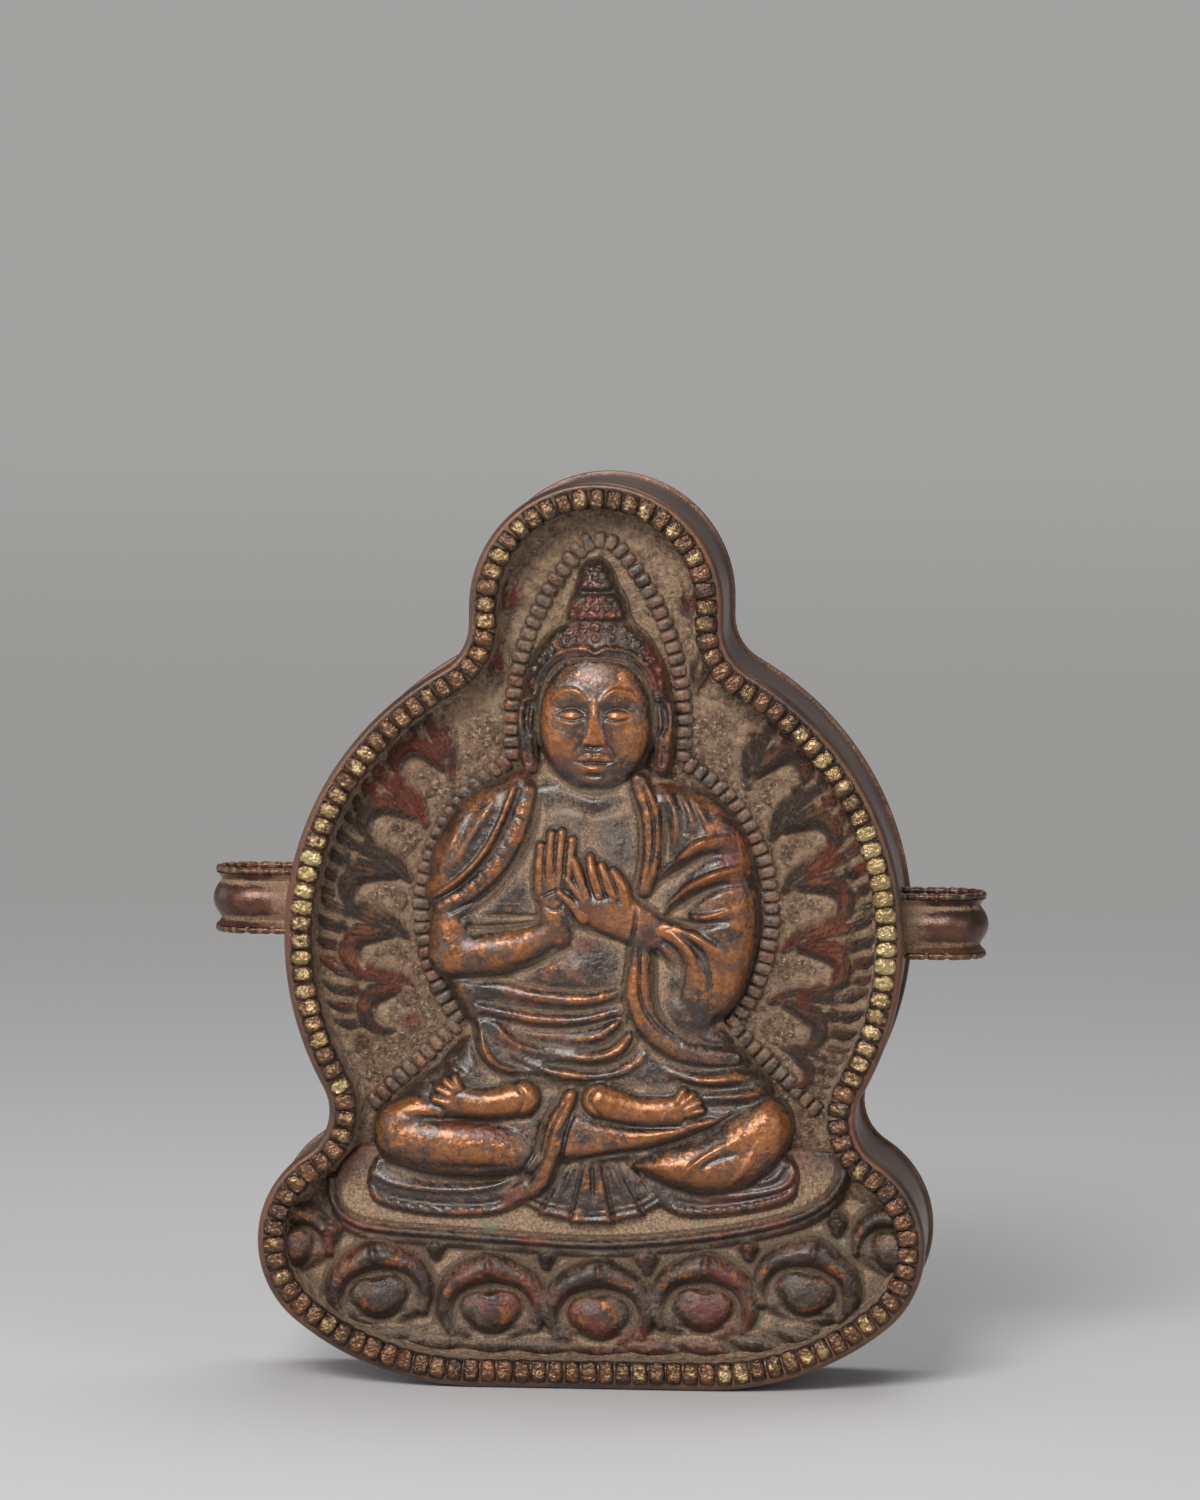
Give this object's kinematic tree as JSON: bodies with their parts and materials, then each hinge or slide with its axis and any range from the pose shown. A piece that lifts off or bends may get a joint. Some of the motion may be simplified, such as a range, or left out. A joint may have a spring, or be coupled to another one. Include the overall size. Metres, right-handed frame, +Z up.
{
  "type": "amulet box",
  "caption": "Copper amulet box (ghau) with a lobed outline, beaded rim, raised seated figure on a lotus and side loops for a cord; the back cover pulls off to hold relics.",
  "frame": {"origin": "middle of the base, on the surface that the box stands on", "axes": "+Z up, the figure faces -Y, +X to the right of someone who looks at the figure"},
  "size_m": [0.0946, 0.026, 0.11],
  "materials": {
    "wall_copper": "smooth brown patinated copper sheet",
    "rim_copper": "worn red copper",
    "bead_brass": "rubbed gilt on dark copper",
    "ground_copper": "dull copper with dust in the hollows",
    "relief_copper": "copper polished on the high places and dark in the folds",
    "loop_copper": "satin copper",
    "cover_copper": "dull copper sheet",
    "scroll_paper": "aged paper",
    "thread_fabric": "twisted thread"
  },
  "bodies": {
    "front_case": {"front_wall": "wall_copper", "front_rim": "rim_copper", "bezel_band": "ground_copper", "bead_border": "bead_brass", "ground_plate": "ground_copper", "mandorla_beading": "ground_copper", "lotus_base": "relief_copper", "seated_figure": "relief_copper", "left_loop": "loop_copper", "right_loop": "loop_copper", "left_loop_edging": "loop_copper", "right_loop_edging": "loop_copper"},
    "back_cover": {"back_plate": "cover_copper", "back_wall": "cover_copper", "prayer_scroll": "scroll_paper", "scroll_thread": "thread_fabric"}
  },
  "joints": [
    {"name": "cover_pull", "type": "slide", "parent": "front_case", "child": "back_cover", "axis": [0, 1, 0], "range_m": [0, 0.022]}
  ]
}
